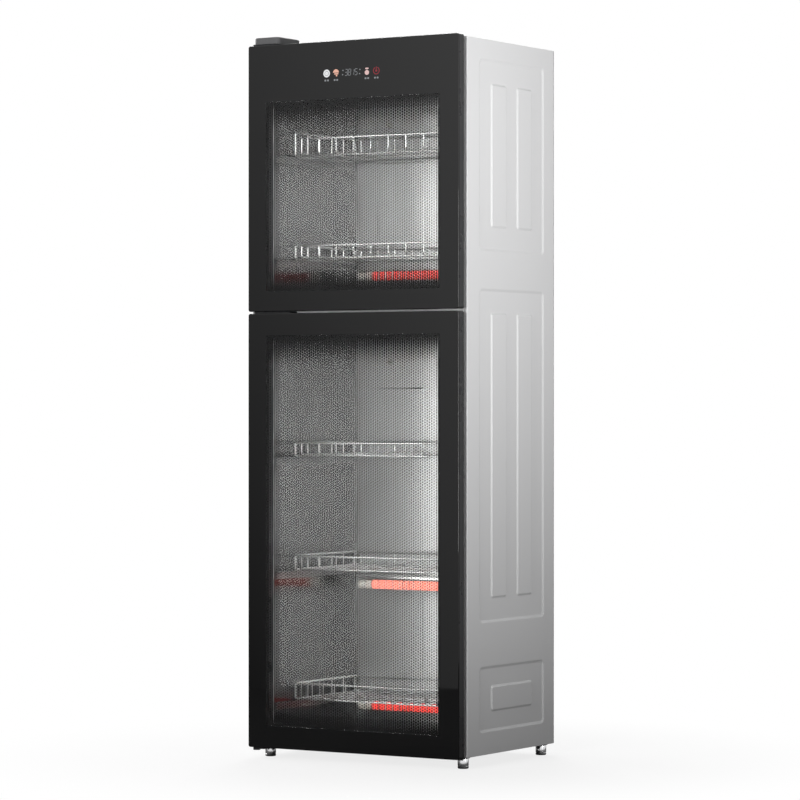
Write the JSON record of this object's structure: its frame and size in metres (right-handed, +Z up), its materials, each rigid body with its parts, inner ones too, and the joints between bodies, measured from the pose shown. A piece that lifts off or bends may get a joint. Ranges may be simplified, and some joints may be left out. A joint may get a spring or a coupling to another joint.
{
  "type": "dish sterilizer cabinet",
  "caption": "Tall free-standing dish sterilizer cabinet with dark glass doors over two heated mirror-steel chambers, sliding wire racks and levelling feet.",
  "frame": {"origin": "on the floor, at the middle of the cabinet's footprint", "axes": "+X to the right seen from the front, +Y to the back, +Z up"},
  "size_m": [0.55, 0.423, 1.616],
  "materials": {
    "cabinet_paint": "satin powder coat",
    "back_sheet": "galvanised",
    "mirror_steel": "polished to a mirror",
    "rack_wire": "bright plated",
    "ledge_steel": "satin",
    "door_glass": "gloss, dark printed border and dot screen",
    "inner_glass": "clear",
    "door_plastic": "gloss",
    "liner_plastic": "satin",
    "gasket_rubber": "matte",
    "bush_plastic": "plain",
    "heater_tube": "glowing quartz",
    "heater_steel": "bright",
    "ceramic": "unglazed",
    "dark_clamp": "heat-proof black",
    "insulation": "fibre felt",
    "board": "lacquered board",
    "tray_plastic": "moulded",
    "display": "gloss",
    "hinge_black": "black",
    "hinge_cover": "mid grey, moulded",
    "screw_steel": "plated",
    "foot_chrome": "bright plated",
    "collar_plastic": "plain",
    "vent_plastic": "moulded",
    "sensor_metal": "plain"
  },
  "bodies": {
    "cabinet": {"left_side_panel": "cabinet_paint", "right_side_panel": "cabinet_paint", "top_panel": "cabinet_paint", "base_panel": "back_sheet", "back_panel": "back_sheet", "back_vent_cover": "vent_plastic", "cord_gland": "vent_plastic", "back_screws": "screw_steel", "front_frame": "mirror_steel", "upper_liner_shell": "mirror_steel", "upper_liner_back": "mirror_steel", "lower_liner_shell": "mirror_steel", "lower_liner_back": "mirror_steel", "insulation_pads": "insulation", "rack_rails_left": "ledge_steel", "rack_rails_right": "ledge_steel", "upper_heater_trough": "heater_steel", "middle_heater_trough": "heater_steel", "lower_heater_trough": "heater_steel", "upper_heater_tube": "heater_tube", "middle_heater_tube": "heater_tube", "lower_heater_tube": "heater_tube", "heater_caps": "ceramic", "heater_clamps": "dark_clamp", "heater_guards": "rack_wire", "middle_heater_hood": "dark_clamp", "temperature_probes": "sensor_metal", "thermal_cutouts": "tray_plastic", "door_sensors": "tray_plastic", "power_board_tray": "tray_plastic", "power_board": "board", "top_hinge_plate": "hinge_black", "top_hinge_cover": "hinge_cover", "middle_hinge_plate": "hinge_black", "bottom_hinge_bracket": "hinge_black", "hinge_screws": "screw_steel", "foot_collars": "collar_plastic"},
    "upper_door_body": {"upper_door_glass": "door_glass", "upper_door_frame": "door_plastic", "upper_door_liner": "liner_plastic", "upper_door_inner_glass": "inner_glass", "upper_door_gasket": "gasket_rubber", "upper_door_bushes": "bush_plastic", "control_board": "board", "display_module": "display"},
    "lower_door_body": {"lower_door_glass": "door_glass", "lower_door_frame": "door_plastic", "lower_door_liner": "liner_plastic", "lower_door_inner_glass": "inner_glass", "lower_door_gasket": "gasket_rubber", "lower_door_bushes": "bush_plastic"},
    "rack_1_body": {"rack_1": "rack_wire"},
    "rack_2_body": {"rack_2": "rack_wire"},
    "rack_3_body": {"rack_3": "rack_wire"},
    "rack_4_body": {"rack_4": "rack_wire"},
    "rack_5_body": {"rack_5": "rack_wire"},
    "foot_front_left_body": {"foot_front_left": "foot_chrome"},
    "foot_front_right_body": {"foot_front_right": "foot_chrome"},
    "foot_back_left_body": {"foot_back_left": "foot_chrome"},
    "foot_back_right_body": {"foot_back_right": "foot_chrome"}
  },
  "joints": [
    {"name": "upper_door_hinge", "type": "hinge", "parent": "cabinet", "child": "upper_door_body", "pos_m": [-0.26, -0.1995, 0], "axis": [0, 0, -1], "range_deg": [0, 110]},
    {"name": "lower_door_hinge", "type": "hinge", "parent": "cabinet", "child": "lower_door_body", "pos_m": [-0.26, -0.1995, 0], "axis": [0, 0, -1], "range_deg": [0, 110]},
    {"name": "rack_1_slide", "type": "slide", "parent": "cabinet", "child": "rack_1_body", "axis": [0, -1, 0], "range_m": [0, 0.075]},
    {"name": "rack_2_slide", "type": "slide", "parent": "cabinet", "child": "rack_2_body", "axis": [0, -1, 0], "range_m": [0, 0.075]},
    {"name": "rack_3_slide", "type": "slide", "parent": "cabinet", "child": "rack_3_body", "axis": [0, -1, 0], "range_m": [0, 0.075]},
    {"name": "rack_4_slide", "type": "slide", "parent": "cabinet", "child": "rack_4_body", "axis": [0, -1, 0], "range_m": [0, 0.075]},
    {"name": "rack_5_slide", "type": "slide", "parent": "cabinet", "child": "rack_5_body", "axis": [0, -1, 0], "range_m": [0, 0.075]},
    {"name": "foot_front_left_screw", "type": "slide", "parent": "cabinet", "child": "foot_front_left_body", "axis": [0, 0, -1], "range_m": [0, 0.01]},
    {"name": "foot_front_right_screw", "type": "slide", "parent": "cabinet", "child": "foot_front_right_body", "axis": [0, 0, -1], "range_m": [0, 0.01]},
    {"name": "foot_back_left_screw", "type": "slide", "parent": "cabinet", "child": "foot_back_left_body", "axis": [0, 0, -1], "range_m": [0, 0.01]},
    {"name": "foot_back_right_screw", "type": "slide", "parent": "cabinet", "child": "foot_back_right_body", "axis": [0, 0, -1], "range_m": [0, 0.01]}
  ]
}
